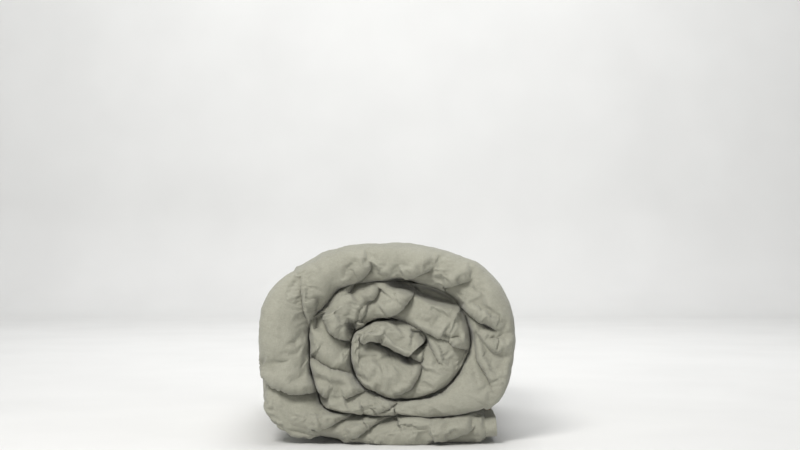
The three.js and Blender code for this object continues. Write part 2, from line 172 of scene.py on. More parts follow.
def crease(angle):
    """The line that the last turn folds about: in along one side, round its closed end, and back."""
    start, mouth_at, turn_at, back_at = (CORE_ANGLE - back for back in CREASE_STRETCHES)
    mouth = place(np.array(CORE_ANGLE - MOUTH_BACK), MOUTH_RADIUS)
    closed = place(np.array(CORE_ANGLE - CLOSED_BACK), CLOSED_RADIUS)
    along = (mouth - closed) / np.linalg.norm(mouth - closed)
    aside = np.array([along[1], -along[0]]) * CREASE_WIDTH / 2

    def between(a, b, low, high):
        return a + (b - a) * np.clip((angle - low) / (high - low), 0, 1)[..., None]

    swing = np.pi * np.clip((angle - turn_at) / (back_at - turn_at), 0, 1)[..., None]
    entering = between(spiral(np.array(start + 360)), mouth + aside, start, mouth_at)
    going = between(mouth + aside, closed + aside, mouth_at, turn_at)
    rounding = closed + aside * np.cos(swing) - along * CREASE_WIDTH / 2 * np.sin(swing)
    returning = between(closed - aside, mouth - aside, back_at, CORE_ANGLE)
    pick = angle[..., None]
    later = np.where(pick < back_at, rounding, returning)
    return np.where(pick < mouth_at, entering, np.where(pick < turn_at, going, later))


def inner_curve(angle):
    outer, following = outer_curve(angle), spiral(angle + 360)
    distance = np.linalg.norm(following - outer, axis=-1)
    room = distance - TURN_GAP
    thickness = np.where(angle < LIFT_ANGLE, np.minimum(room, TAIL_THICKNESS), room)
    usual = outer + (following - outer) * (thickness / distance)[..., None]
    return np.where((angle > CORE_ANGLE - CREASE_STRETCHES[0])[..., None], crease(angle), usual)


# ---- stations along the band ----
def run_of(angles):
    """Distance along the band's middle, by angle."""
    middle = (outer_curve(angles) + inner_curve(angles)) / 2
    return running(np.linalg.norm(np.diff(middle, axis=0), axis=1))


FINE_ANGLES = np.linspace(TAIL_ANGLE, CORE_ANGLE, 30001)
FINE_RUN = run_of(FINE_ANGLES)


def angle_at(run):
    return np.interp(run, FINE_RUN, FINE_ANGLES)


def run_at(angle):
    return np.interp(angle, FINE_ANGLES, FINE_RUN)


hinge_runs = [float(run_at(angle)) for angle in HINGE_ANGLES]
CUT_RUNS = (
    [hinge_runs[0] - CUT_BESIDE]
    + [(a + b) / 2 for a, b in zip(hinge_runs, hinge_runs[1:])]
    + [hinge_runs[-1] + CUT_BESIDE]
)


def station_runs(step):
    """Distances of the stations, with one at each cut, and the numbers of those at the cuts."""
    ends = [0.0] + CUT_RUNS + [float(FINE_RUN[-1])]
    runs, cuts = [0.0], [0]
    for low, high in zip(ends, ends[1:]):
        count = max(2, round((high - low) / step))
        runs.extend(low + (high - low) * (i + 1) / count for i in range(count))
        cuts.append(len(runs) - 1)
    return np.array(runs), cuts


# ---- the cross-section: a closed ring in (y, t), where t runs from the outer to the inner face ----
def superellipse(exponent, count):
    """Cosine and sine parts at even steps of arc, from straight up to straight down."""
    swing = np.linspace(np.pi / 2, -np.pi / 2, 4001)
    across = np.abs(np.cos(swing)) ** (2 / exponent)
    up = np.sign(np.sin(swing)) * np.abs(np.sin(swing)) ** (2 / exponent)
    run = running(np.hypot(np.diff(across), np.diff(up)))
    even = np.linspace(0, run[-1], count)
    return np.interp(even, run, across), np.interp(even, run, up)


def face_rows(near, far):
    """Y positions from the nose to the back seam, whose spacing grows from near to far."""
    rows, step = [FRONT + NOSE_DEPTH], near
    end = BACK - SEAM_DEPTH
    while rows[-1] + step * 1.5 < end:
        rows.append(rows[-1] + step)
        step = min(step * ROW_GROWTH, far)
    return np.array(rows + [end])


def cross_section(thickness, taper, fullness):
    """Rings of (y, t): outer seam edge, outer face, fold, inner face, inner seam edge, and the gap between
    the two halves, in along the inner one, round its end and out along the outer one."""
    thickness, taper, fullness = thickness[:, None], taper[:, None], fullness[:, None]
    half = (thickness - FOLD_GAP) / 2
    depth = taper * (half / 2 - HEM_WALL - HEM_GAP / 2)
    edge_across, edge_up = superellipse(SEAM_POINT, 2 * EDGE_STEPS + 1)
    edge_y = BACK - SEAM_DEPTH + SEAM_DEPTH * edge_across
    edge_t = (half / 2 - depth) * edge_up
    soft, full = (np.array(superellipse(exponent, NOSE_STEPS)) for exponent in NOSE_SQUARENESS)
    nose_across, nose_up = soft[:, None] + (full - soft)[:, None] * fullness
    nose_y = FRONT + NOSE_DEPTH - (NOSE_DEPTH - depth) * nose_across
    nose_t = thickness / 2 - (thickness / 2 - depth) * nose_up
    outer_y, inner_y = face_rows(*OUTER_ROWS), face_rows(*INNER_ROWS)
    slit_y = np.linspace(BACK - SEAM_DEPTH, FRONT + SLIT_END, SLIT_STEPS + 1)[1:]
    swing = np.linspace(0, np.pi, SLIT_TURN + 2)[1:-1]
    reach = taper * (SLIT_END - depth - 2 * HEM_WALL - HEM_GAP)
    half_gap = thickness / 2 - half + depth
    point = EDGE_STEPS
    parts = [
        (edge_y[point::-1], half / 2 - edge_t[:, point::-1]),
        (outer_y[-2::-1], depth),
        (nose_y[:, 1:], nose_t[:, 1:]),
        (inner_y[1:], thickness - depth),
        (edge_y[1:], thickness - half / 2 + edge_t[:, 1:]),
        (slit_y, thickness - half + depth),
        (FRONT + SLIT_END - reach * np.sin(swing), thickness / 2 + half_gap * np.cos(swing)),
        (slit_y[::-1], half - depth),
        (edge_y[:point], half / 2 + edge_t[:, :point]),
    ]
    sides = zip(*(np.broadcast_arrays(*part) for part in parts))
    return [np.concatenate(side, 1) for side in sides]


def band_grid(step):
    """The smooth band: points of shape (stations, ring, 3), and what is known about each of them."""
    runs, cuts = station_runs(step)
    angles = angle_at(runs)
    outer, inner = outer_curve(angles), inner_curve(angles)
    thickness = np.linalg.norm(inner - outer, axis=-1)
    taper = (1 - np.clip(runs / TAPER, 0, 1)) ** 2
    fullness = np.clip(0.5 + 0.7 * noise(runs / FULLNESS_WAVE, 0 * runs, 12), 0, 1)
    y, t = cross_section(thickness, taper, fullness)
    stands = NOSE_STANDS * noise(runs / NOSE_STANDS_WAVE, 0 * runs, 13)[:, None]
    y = y - stands * (1 - smoothstep(y, FRONT, FRONT + NOSE_STANDS_REACH))
    share = t / thickness[:, None]
    flat = outer[:, None] + (inner - outer)[:, None] * share[..., None]
    points = np.stack([flat[..., 0], y, flat[..., 1]], -1)
    return {"points": points, "runs": runs, "cuts": cuts, "angles": angles, "share": share, "y": y}


def net_faces(rows, ring):
    """Four-cornered faces between neighbouring rings, each of which closes on itself."""
    index = np.arange(rows * ring).reshape(rows, ring)
    following = np.roll(index, -1, 1)
    return np.stack([index[:-1], following[:-1], following[1:], index[1:]], -1).reshape(-1, 4)


def closed_faces(rows, ring):
    """The same, and a face to fill in each end."""
    last = (rows - 1) * ring
    return net_faces(rows, ring).tolist() + [list(range(ring))[::-1], list(range(last, last + ring))]


def grid_normals(points):
    """Outward unit normals of a grid that is closed round the ring."""
    along = np.gradient(points, axis=0)
    around = np.roll(points, -1, 1) - np.roll(points, 1, 1)
    normals = np.cross(around, along)
    return normals / np.maximum(np.linalg.norm(normals, axis=-1, keepdims=True), 1e-9)


# ---- pleats at the folded end, each a line of (x, z) points on the front of the roll ----
# (line, how deep, how wide, which side folds over: 1 the left of its direction, -1 the right, 0 neither,
#  and how much of its length it takes to start and to end)
PLEATS = [
    # the outer turn, from the lower left and clockwise
    ([(-0.235, 0.127), (-0.205, 0.113), (-0.177, 0.103), (-0.140, 0.095), (-0.100, 0.086)],
     0.022, 0.011, 1, 0.02, 0.1),
    ([(-0.155, 0.311), (-0.150, 0.273), (-0.139, 0.200)], 0.007, 0.004, 1, 0.05, 0.05),
    ([(-0.126, 0.280), (-0.128, 0.250), (-0.130, 0.210)], 0.012, 0.009, -1, 0.3, 0.05),
    ([(-0.022, 0.340), (-0.044, 0.308), (-0.069, 0.279)], 0.018, 0.010, -1, 0.25, 0.02),
    ([(0.095, 0.329), (0.066, 0.320), (0.036, 0.304)], 0.017, 0.010, -1, 0.3, 0.02),
    ([(0.099, 0.347), (0.098, 0.322)], 0.003, 0.003, 0, 0.3, 0.3),
    ([(0.166, 0.308), (0.138, 0.300), (0.108, 0.290)], 0.013, 0.009, -1, 0.3, 0.02),
    ([(0.140, 0.250), (0.176, 0.232), (0.205, 0.214), (0.222, 0.217)], 0.019, 0.008, 1, 0.02, 0.45),
    ([(0.184, 0.198), (0.208, 0.193), (0.236, 0.208)], 0.009, 0.008, -1, 0.3, 0.4),
    ([(0.163, 0.213), (0.195, 0.176), (0.233, 0.163)], 0.008, 0.014, 1, 0.2, 0.2),
    ([(0.150, 0.240), (0.163, 0.200), (0.173, 0.156), (0.203, 0.104)], 0.010, 0.006, 1, 0.05, 0.08),
    # under it
    ([(-0.136, 0.027), (-0.089, 0.046), (-0.040, 0.057)], 0.016, 0.009, 1, 0.15, 0.02),
    ([(-0.066, 0.009), (-0.029, 0.037), (0.022, 0.053)], 0.016, 0.009, 1, 0.15, 0.02),
    ([(0.084, 0.003), (0.129, 0.018), (0.168, 0.036)], 0.016, 0.009, 1, 0.1, 0.25),
    ([(-0.186, 0.029), (-0.142, 0.018), (-0.066, 0.010)], 0.008, 0.007, 0, 0.2, 0.2),
    ([(-0.207, 0.080), (-0.176, 0.038), (-0.136, 0.025)], 0.007, 0.012, 0, 0.3, 0.1),
    # the second turn
    ([(-0.111, 0.243), (-0.098, 0.213), (-0.058, 0.180)], 0.022, 0.011, 1, 0.05, 0.15),
    ([(-0.011, 0.289), (-0.032, 0.257), (-0.046, 0.222)], 0.016, 0.008, -1, 0.05, 0.05),
    ([(-0.026, 0.275), (-0.045, 0.245), (-0.056, 0.207)], 0.013, 0.008, 1, 0.2, 0.02),
    ([(0.057, 0.289), (0.038, 0.267), (0.025, 0.251), (0.004, 0.234)], 0.020, 0.012, -1, 0.02, 0.05),
    ([(0.048, 0.211), (0.100, 0.200), (0.156, 0.171)], 0.013, 0.007, 1, 0.05, 0.05),
    ([(0.102, 0.206), (0.120, 0.195), (0.143, 0.194)], 0.012, 0.006, -1, 0.2, 0.2),
    ([(0.066, 0.204), (0.088, 0.176), (0.107, 0.143)], 0.008, 0.005, 1, 0.05, 0.2),
    ([(-0.138, 0.161), (-0.120, 0.145), (-0.100, 0.134), (-0.042, 0.124)], 0.013, 0.008, -1, 0.02, 0.2),
    ([(-0.080, 0.086), (-0.051, 0.096), (-0.016, 0.097)], 0.012, 0.008, 1, 0.15, 0.05),
    ([(-0.020, 0.058), (0.000, 0.067), (0.026, 0.078)], 0.010, 0.005, 1, 0.05, 0.1),
    # the core
    ([(-0.046, 0.197), (-0.029, 0.188), (-0.010, 0.191), (0.015, 0.166), (0.038, 0.160), (0.070, 0.157)],
     0.020, 0.007, 1, 0.05, 0.02),
    ([(-0.012, 0.199), (-0.006, 0.187)], 0.011, 0.005, 0, 0.2, 0.02),
    ([(-0.050, 0.160), (-0.026, 0.161), (-0.005, 0.163)], 0.007, 0.007, 0, 0.1, 0.3),
    ([(-0.020, 0.149), (0.012, 0.166)], 0.007, 0.006, 0, 0.3, 0.1),
    ([(0.067, 0.146), (0.057, 0.125), (0.047, 0.106), (0.018, 0.090)], 0.012, 0.006, -1, 0.05, 0.1),
]

# ---- hollows where the turns part: x, z, half sizes, tilt in degrees, how deep ----
HOLLOWS = [
    (0.030, 0.295, 0.022, 0.010, -8, 0.080),
    (0.092, 0.273, 0.046, 0.011, -20, 0.085),
    (-0.063, 0.212, 0.007, 0.015, 15, 0.040),
    (0.041, 0.157, 0.009, 0.008, 0, 0.045),
    (0.190, 0.222, 0.016, 0.006, -35, 0.030),
]
PLEAT_SCALE = 1.8
FOLDED_SIDE, OPEN_SIDE = 0.35, 1.6  # a pleat's width on its steep side and on its open side, as shares
SHOULDER = 0.35  # how far the folded side stands proud, as a share of the depth
OUTSIDE_PUSH = 0.55  # how far a pleat dents the outside of the roll, as a share of the depth
OVERHANG = 0.3  # how far the folded side is drawn over the valley, as a share of the depth
PLEAT_FADE = (0.035, 0.110)  # behind the front: where a pleat starts to fade, and where it has gone
ROUND = TAIL_ANGLE + 360  # the band lies outermost up to this angle
OUTER_FACE = (0.3, 0.6)  # shares of the thickness over which a point stops counting as on the outer face
OFF_FLOOR = (0.01, 0.05)  # heights over which the outside is free to move


def within_turn(share):
    """1 in the middle of a turn's thickness and 0 at its faces, which touch the next turn."""
    return np.clip(5 * share * (1 - share), 0, 1)


def hollow_shape(flat, x, z, half_x, half_z, tilt, depth):
    c, s = math.cos(math.radians(tilt)), math.sin(math.radians(tilt))
    dx, dz = (flat - (x, z)).T
    reach = ((dx * c + dz * s) / half_x) ** 2 + ((dz * c - dx * s) / half_z) ** 2
    return depth * np.exp(-reach * reach)


def pleat_shape(flat, line, depth, width, side, start, end):
    """How far a pleat pushes each (x, z) point in, and how far it draws it sideways over its valley."""
    line = np.array(line)
    lengths = np.linalg.norm(np.diff(line, axis=0), axis=1)
    best = np.full(flat.shape[:-1], 1e9)
    offset, along = np.zeros_like(best), np.zeros_like(best)
    across = np.zeros(flat.shape)
    for i, length in enumerate(lengths):
        a, direction = line[i], (line[i + 1] - line[i]) / length
        to = flat - a
        share = np.clip((to @ direction) / length, 0, 1)
        distance = np.linalg.norm(to - share[..., None] * length * direction, axis=-1)
        nearer = distance < best
        sign = np.sign(direction[0] * to[..., 1] - direction[1] * to[..., 0])
        best = np.where(nearer, distance, best)
        offset = np.where(nearer, sign * distance, offset)
        along = np.where(nearer, (lengths[:i].sum() + share * length) / lengths.sum(), along)
        across = np.where(nearer[..., None], np.array([-direction[1], direction[0]]), across)
    envelope = smoothstep(along, 0, start + 1e-6) * (1 - smoothstep(along, 1 - end - 1e-6, 1))
    folded = offset * side
    scale = np.where(folded > 0, FOLDED_SIDE, OPEN_SIDE) if side else 1.0
    valley = np.exp(-best / (width * scale))
    if not side:
        return depth * envelope * valley, np.zeros(flat.shape)
    shoulder = SHOULDER * np.exp(-(((folded - 1.2 * width) / (1.1 * width)) ** 2))
    drawn = OVERHANG * depth * envelope * np.exp(-(((folded - 0.35 * width) / (0.6 * width)) ** 2))
    return depth * envelope * (valley - shoulder), -across * side * drawn[..., None]


def add_pleats(grid):
    """Pushes the pleats and hollows into the folded end. Returns how deep they are at each point."""
    points = grid["points"]
    near = points[..., 1] < FRONT + PLEAT_FADE[1]
    flat = points[near][:, [0, 2]]
    total, sideways = np.zeros(len(flat)), np.zeros((len(flat), 2))
    for line, depth, *shape in PLEATS:
        pushed, drawn = pleat_shape(flat, line, PLEAT_SCALE * depth, *shape)
        total += pushed
        sideways += drawn
    for hollow in HOLLOWS:
        total += hollow_shape(flat, *hollow)
    fade = 1 - smoothstep(points[near][:, 1], FRONT + PLEAT_FADE[0], FRONT + PLEAT_FADE[1])
    share = grid["share"][near]
    angle = (grid["angles"][:, None] + 0 * grid["share"])[near]
    outermost = (angle < ROUND) * (1 - smoothstep(share, *OUTER_FACE)) * smoothstep(flat[:, 1], *OFF_FLOOR)
    inwards = -OUTSIDE_PUSH * grid_normals(points)[near] * outermost[:, None]
    inwards[:, 1] += 1 - outermost
    points[near] += inwards * (total * fade)[:, None]
    inside = within_turn(share) * fade
    points[near] += np.stack([sideways[:, 0], 0 * inside, sideways[:, 1]], -1) * inside[:, None]
    depth = np.zeros(points.shape[:2])
    depth[near] = total * fade
    return depth


# ---- soft shifts of the whole roll near its folded end: x, z, shift in x, shift in z, reach ----
NUDGES = [
    (-0.174, 0.040, -0.008, -0.024, 0.050),
    (0.006, 0.240, 0.000, -0.010, 0.040),
    (0.070, 0.195, 0.010, -0.005, 0.036),
    (0.030, 0.092, 0.003, -0.011, 0.040),
    (0.150, 0.190, 0.010, -0.005, 0.045),
    (-0.146, 0.170, 0.009, 0.000, 0.050),
    (-0.150, 0.310, 0.008, -0.006, 0.050),
    (-0.046, 0.230, 0.004, -0.009, 0.026),
    (0.054, 0.224, 0.002, -0.010, 0.026),
    (-0.137, 0.102, 0.014, 0.002, 0.034),
    (-0.120, 0.258, 0.008, -0.008, 0.028),
    (0.037, 0.046, 0.000, 0.009, 0.042),
]
NUDGE_FADE = (0.06, 0.40)  # behind the front: where the shifts start to fade, and where they have gone
NUDGE_HEIGHT = 0.02  # below this height a shift up or down gets less, so the roll stays on the floor


def add_nudges(grid):
    points = grid["points"]
    fade = 1 - smoothstep(points[..., 1], FRONT + NUDGE_FADE[0], FRONT + NUDGE_FADE[1])
    shift = np.zeros(points.shape[:2] + (2,))
    for x, z, move_x, move_z, reach in NUDGES:
        distance = np.hypot(points[..., 0] - x, points[..., 2] - z) / reach
        shift += np.exp(-distance * distance)[..., None] * np.array([move_x, move_z])
    points[..., 0] += shift[..., 0] * fade
    points[..., 2] += shift[..., 1] * fade * np.minimum(points[..., 2] / NUDGE_HEIGHT, 1)


def new_object(name, data):
    made = bpy.data.objects.new(name, data)
    bpy.context.scene.collection.objects.link(made)
    return made


# ---- cloth simulation: the folded end fills out between its pleats ----
SIM_FRAMES = 22
SIM_CAP = 0.012  # no point moves further than about this
SIM_SETTLE = 0.010  # the outside swells by about this much, so it is drawn back in
SIM_FREE = (0.055, 0.140)  # behind the front: where the cloth starts to be held, and where it is fixed
OUTSIDE_FREEDOM = 0.97  # how far the outside of the roll is let go too
ROLLED_OVER = (LIFT_ANGLE + 4, LIFT_ANGLE + 34, 22, 38)  # angles: the outside is free between these
VALLEY_HOLD = 0.007  # a pleat this deep is held, as if tucked in
HOLD_LEVELS = 20
CLOTH_SETTINGS = {
    "quality": 5, "mass": 0.2, "air_damping": 3, "tension_stiffness": 12, "compression_stiffness": 12,
    "shear_stiffness": 4, "bending_stiffness": 0.08, "use_pressure": True, "uniform_pressure_force": 3.0,
    "shrink_min": -0.10, "vertex_group_mass": "held",
}
FLOOR_CLEAR, FLOOR_PRESS = 0.0002, 0.0012  # the gap kept to the floor, and how softly it's reached


def rolled_over(angle):
    return smoothstep(angle, *ROLLED_OVER[:2]) * (1 - smoothstep(angle, *ROLLED_OVER[2:]))


def holding(angle, share, y, depth):
    """How firmly each point of the cloth is held, from 0 to 1."""
    outermost = rolled_over(angle) * (1 - smoothstep(share, 0.0, 0.12))
    hold = smoothstep(y, FRONT + SIM_FREE[0], FRONT + SIM_FREE[1])
    hold *= 1 - smoothstep(y, BACK - SIM_FREE[1], BACK - SIM_FREE[0])
    hold *= 1 - OUTSIDE_FREEDOM * outermost
    hold = np.maximum(hold, np.clip(depth / VALLEY_HOLD, 0, 1) ** 2)
    hold[0], hold[-1] = 1, 1
    return hold


def run_cloth(points, hold):
    """Where the points of a closed net of cloth move to."""
    mesh = bpy.data.meshes.new("cloth_run")
    mesh.from_pydata(points.reshape(-1, 3).tolist(), [], net_faces(*points.shape[:2]).tolist())
    cloth = new_object("cloth_run", mesh)
    group = cloth.vertex_groups.new(name="held")
    for level in range(1, HOLD_LEVELS + 1):
        chosen = np.flatnonzero(np.round(hold.ravel() * HOLD_LEVELS) == level)
        group.add(chosen.tolist(), level / HOLD_LEVELS, "REPLACE")
    modifier = cloth.modifiers.new("cloth", "CLOTH")
    for key, value in CLOTH_SETTINGS.items():
        setattr(modifier.settings, key, value)
    modifier.settings.effector_weights.gravity = 0
    modifier.collision_settings.use_collision = False
    scene = bpy.context.scene
    for timed in (scene, modifier.point_cache):
        timed.frame_start, timed.frame_end = 1, SIM_FRAMES
    for number in range(1, SIM_FRAMES + 1):
        scene.frame_set(number)
    shape = cloth.evaluated_get(bpy.context.evaluated_depsgraph_get()).data
    moved = np.empty(len(shape.vertices) * 3, np.float32)
    shape.vertices.foreach_get("co", moved)
    bpy.data.objects.remove(cloth, do_unlink=True)
    scene.frame_set(1)
    scene.frame_end = 1
    return moved.reshape(points.shape).astype(float)


def spread(values, rows, columns, shape):
    """Values on some rows and columns of the grid, filled in between them. The columns close in a ring."""
    wrapped = np.concatenate([values, values[:, :1]], 1)
    columns = np.append(columns, shape[1])
    across = np.stack([np.interp(np.arange(shape[1]), columns, row) for row in wrapped])
    return np.stack([np.interp(np.arange(shape[0]), rows, line) for line in across.T], 1)


def simulate(grid, depth):
    """Lets the cloth of the folded end go, and adds what it moved to the band."""
    points, share = grid["points"], grid["share"]
    rows = np.unique(np.append(np.arange(0, points.shape[0], 2), points.shape[0] - 1))
    columns = np.arange(0, points.shape[1], 2)
    chosen = np.ix_(rows, columns)
    coarse = points[chosen]
    angle = grid["angles"][:, None] + 0 * share
    hold = holding(angle[chosen], share[chosen], coarse[..., 1], depth[chosen])
    moved = run_cloth(coarse, hold) - coarse
    length = np.linalg.norm(moved, axis=-1, keepdims=True)
    moved *= SIM_CAP * np.tanh(length / SIM_CAP) / np.maximum(length, 1e-9)
    fine = np.stack([spread(moved[..., k], rows, columns, points.shape) for k in range(3)], -1)
    outside = (angle < ROUND) & (share < 0.5)
    free = np.where(outside, 1, within_turn(share))
    fine[..., 0] *= free
    fine[..., 2] *= free
    swollen = rolled_over(angle) * (1 - smoothstep(share, 0.0, 0.3))
    swollen *= smoothstep(grid["y"], FRONT, FRONT + SIM_FREE[1])
    points += fine - SIM_SETTLE * swollen[..., None] * grid_normals(points)


def rest_on_floor(grid):
    """Nothing reaches below the floor: what would is pressed flat on it."""
    height = grid["points"][..., 2]
    pressed = np.logaddexp(0, (height - FLOOR_CLEAR) / FLOOR_PRESS)
    grid["points"][..., 2] = FLOOR_CLEAR + FLOOR_PRESS * pressed


# ---- lumps, puckers and creases ----
END_SMOOTH = 0.05  # the tail's first stretch has no filling, so its lumps grow over this distance
HIDDEN_LUMPS = 0.15  # the share of them on the faces between the two halves
FRONT_ZONE = (0.02, 0.12)  # behind the front: where the puckers end and the lumps and creases start
BACK_ZONE = (0.09, SEAM_DEPTH)  # before the back: where the creases fade
FILLING_LUMPS, LUMP_HEIGHT, SMALL_LUMP_HEIGHT = 0.0035, 0.0022, 0.0012
PUCKER_HEIGHT, FINE_PUCKER_HEIGHT = 0.0009, 0.0005  # gathers that run across the fold
DRAG_HEIGHT = 0.0008  # fine lines behind it
CREASE_HEIGHT = 0.0040  # long soft creases that run back from the folded end
CREASE_SHARPNESS = 4  # the power that narrows them


def add_wrinkles(grid):
    """Moves the surface out and in by smooth noise. Lengths along the band and Y divide its arguments."""
    points, share, y = grid["points"], grid["share"], grid["y"]
    run = grid["runs"][:, None] + 0 * y
    front = 1 - smoothstep(y, FRONT + FRONT_ZONE[0], FRONT + FRONT_ZONE[1])
    lumps = FILLING_LUMPS * (1 - front) * noise(run / 0.09, y / 0.11, 9)
    lumps += LUMP_HEIGHT * noise(run / 0.055, y / 0.06 + 3 * share, 1)
    lumps += SMALL_LUMP_HEIGHT * noise(run / 0.027, y / 0.04 + 4 * share, 2)
    puckers = PUCKER_HEIGHT * noise(run / 0.011 + 1.5 * share, 1.6 * share, 3)
    puckers += FINE_PUCKER_HEIGHT * noise(run / 0.006, 2.5 * share, 4)
    drags = DRAG_HEIGHT * noise(run / 0.012 + y / 0.15, y / 0.10, 5) * (1 - front)
    bend = 0.6 * noise(run / 0.15, y / 0.12, 14)
    patchy = smoothstep(noise(run / 0.16, y / 0.22, 15), -0.3, 0.4)
    long = 1 - np.abs(noise(run / 0.060 + bend, y / 0.26, 16))
    slanting = 1 - np.abs(noise(run / 0.038 - 2 * bend + y / 0.2, y / 0.2, 17))
    creases = CREASE_HEIGHT * (patchy * long ** CREASE_SHARPNESS + slanting ** CREASE_SHARPNESS / 2)
    creases *= (1 - front) * (1 - smoothstep(y, BACK - BACK_ZONE[0], BACK - BACK_ZONE[1]))
    height = (lumps + puckers * front + drags + creases) * smoothstep(run, 0, END_SMOOTH)
    between = slice(-2 * SLIT_STEPS - SLIT_TURN - EDGE_STEPS, -EDGE_STEPS)
    height[:, between] *= HIDDEN_LUMPS
    points += grid_normals(points) * height[..., None]


# ---- materials ----
class Nodes:
    """A short way to write a material's nodes."""

    def __init__(self, name):
        self.material = bpy.data.materials.new(name)
        self.material.use_nodes = True
        self.tree = self.material.node_tree
        self.shader = next(n for n in self.tree.nodes if n.type == "BSDF_PRINCIPLED")

    def put(self, socket, value):
        if isinstance(value, bpy.types.NodeSocket):
            self.tree.links.new(value, socket)
        elif value is not None:
            socket.default_value = value

    def node(self, kind, values=None, **settings):
        made = self.tree.nodes.new(kind)
        for key, value in settings.items():
            setattr(made, key, value)
        for key, value in (values or {}).items():
            self.put(made.inputs[key], value)
        return made

    def math(self, operation, a, b=0.0):
        return self.node("ShaderNodeMath", {0: a, 1: b}, operation=operation).outputs[0]

    def noise(self, vector, scale, detail=2.0, roughness=0.5):
        values = {"Vector": vector, "Scale": scale, "Detail": detail, "Roughness": roughness}
        return self.node("ShaderNodeTexNoise", values).outputs["Fac"]

    def blend(self, *parts):
        """The sum of (value, weight) pairs."""
        total = self.math("MULTIPLY", *parts[0])
        for value, weight in parts[1:]:
            total = self.math("ADD", total, self.math("MULTIPLY", value, weight))
        return total

    def bump(self, height, strength, distance):
        values = {"Height": height, "Strength": strength, "Distance": distance}
        return self.node("ShaderNodeBump", values).outputs["Normal"]

    def space(self):
        return self.node("ShaderNodeTexCoord").outputs["Object"]

    def stretched(self, vector, scale):
        return self.node("ShaderNodeVectorMath", {0: vector, 1: scale}, operation="MULTIPLY").outputs[0]

    def ramp(self, value, stops):
        made = self.node("ShaderNodeValToRGB", {"Fac": value})
        elements = made.color_ramp.elements
        for element, stop in ((elements[0], stops[0]), (elements[1], stops[-1])):
            element.position, element.color = stop
        for position, color in stops[1:-1]:
            elements.new(position).color = color
        return made.outputs["Color"]

    def finish(self, color, roughness, normal=None, **constants):
        for socket, value in (("Base Color", color), ("Roughness", roughness), ("Normal", normal)):
            self.put(self.shader.inputs[socket], value)
        for socket, value in constants.items():
            self.shader.inputs[socket.replace("_", " ")].default_value = value
        return self.material


def linen(name, pale, dark, thread=0.0011):
    """Washed linen-cotton: plain weave with slubs, a matte sheen and soft variation of its dye."""
    m = Nodes(name)
    cloth, space = m.node("ShaderNodeUVMap", uv_map="cloth").outputs["UV"], m.space()
    warp, weft = (m.noise(m.stretched(cloth, scale), 1.0, 2) for scale in ((90, 1400, 1), (1400, 90, 1)))
    slubs = m.blend((warp, 0.5), (weft, 0.5))
    mottle, patches = m.noise(space, 26.0, 4, 0.6), m.noise(space, 6.0, 2)
    specks = m.noise(space, 240.0, 3, 0.7)
    tone = m.blend((slubs, 0.46), (mottle, 0.20), (patches, 0.12), (specks, 0.14))
    split = m.node("ShaderNodeSeparateXYZ", {"Vector": cloth})
    waves = [m.math("SINE", m.math("MULTIPLY", split.outputs[i], 2 * math.pi / thread)) for i in (0, 1)]
    weave = m.math("MULTIPLY", waves[0], waves[1])
    fine, coarse = m.noise(space, 160.0, 3, 0.55), m.noise(space, 60.0, 4, 0.6)
    height = m.blend((weave, 0.22), (slubs, 0.9), (fine, 3.0), (coarse, 5.0))
    return m.finish(
        m.ramp(tone, [(0.33, dark), (0.60, pale)]),
        m.math("ADD", m.math("MULTIPLY", slubs, 0.12), 0.82),
        m.bump(height, 0.8, 0.0005),
        Sheen_Weight=0.22, Sheen_Roughness=0.45, Specular_IOR_Level=0.25,
    )


def twisted_thread(name, pale, dark):
    """Cotton thread: its plies wind round it in fine slanting lines."""
    m = Nodes(name)
    space = m.space()
    split = m.node("ShaderNodeSeparateXYZ", {"Vector": space})
    slant = m.math("ADD", m.math("ADD", split.outputs[0], split.outputs[1]), split.outputs[2])
    plies = m.math("ADD", m.math("MULTIPLY", m.math("SINE", m.math("MULTIPLY", slant, 9000.0)), 0.5), 0.5)
    tone = m.blend((plies, 0.5), (m.noise(space, 1500.0, 3, 0.7), 0.5))
    color = m.ramp(tone, [(0.2, dark), (0.75, pale)])
    return m.finish(color, 0.7, m.bump(tone, 0.6, 0.0001), Sheen_Weight=0.15)


def carved_horn(name, stops):
    """Polished horn: long streaks of brown, drawn out one way, with a fine grain."""
    m = Nodes(name)
    space = m.space()
    streaks = m.noise(m.stretched(space, (520, 60, 520)), 1.0, 4, 0.6)
    tone = m.blend((streaks, 0.65), (m.noise(space, 130.0, 3, 0.5), 0.35))
    grain = m.noise(m.stretched(space, (2600, 300, 2600)), 1.0, 2)
    roughness = m.math("ADD", m.math("MULTIPLY", grain, 0.2), 0.24)
    return m.finish(m.ramp(tone, stops), roughness, m.bump(grain, 0.25, 0.0001), Specular_IOR_Level=0.5)


# ---- meshes ----
def mesh_object(name, points, faces, material, normals=None, uvs=None):
    """A smooth mesh. With normals, one for each point, its last two faces are flat caps."""
    mesh = bpy.data.meshes.new(name)
    mesh.from_pydata(points.tolist(), [], faces)
    mesh.polygons.foreach_set("use_smooth", [True] * len(mesh.polygons))
    if uvs is not None:
        layer = mesh.uv_layers.new(name="cloth")
        layer.data.foreach_set("uv", uvs.astype(np.float32).ravel())
    mesh.materials.append(material)
    mesh.update()
    if normals is not None:
        corners = np.empty(len(mesh.loops), np.int32)
        mesh.loops.foreach_get("vertex_index", corners)
        corner_normals = normals[corners]
        for cap in mesh.polygons[-2:]:
            corner_normals[cap.loop_start:cap.loop_start + cap.loop_total] = cap.normal
        mesh.normals_split_custom_set(corner_normals.tolist())
    return new_object(name, mesh)


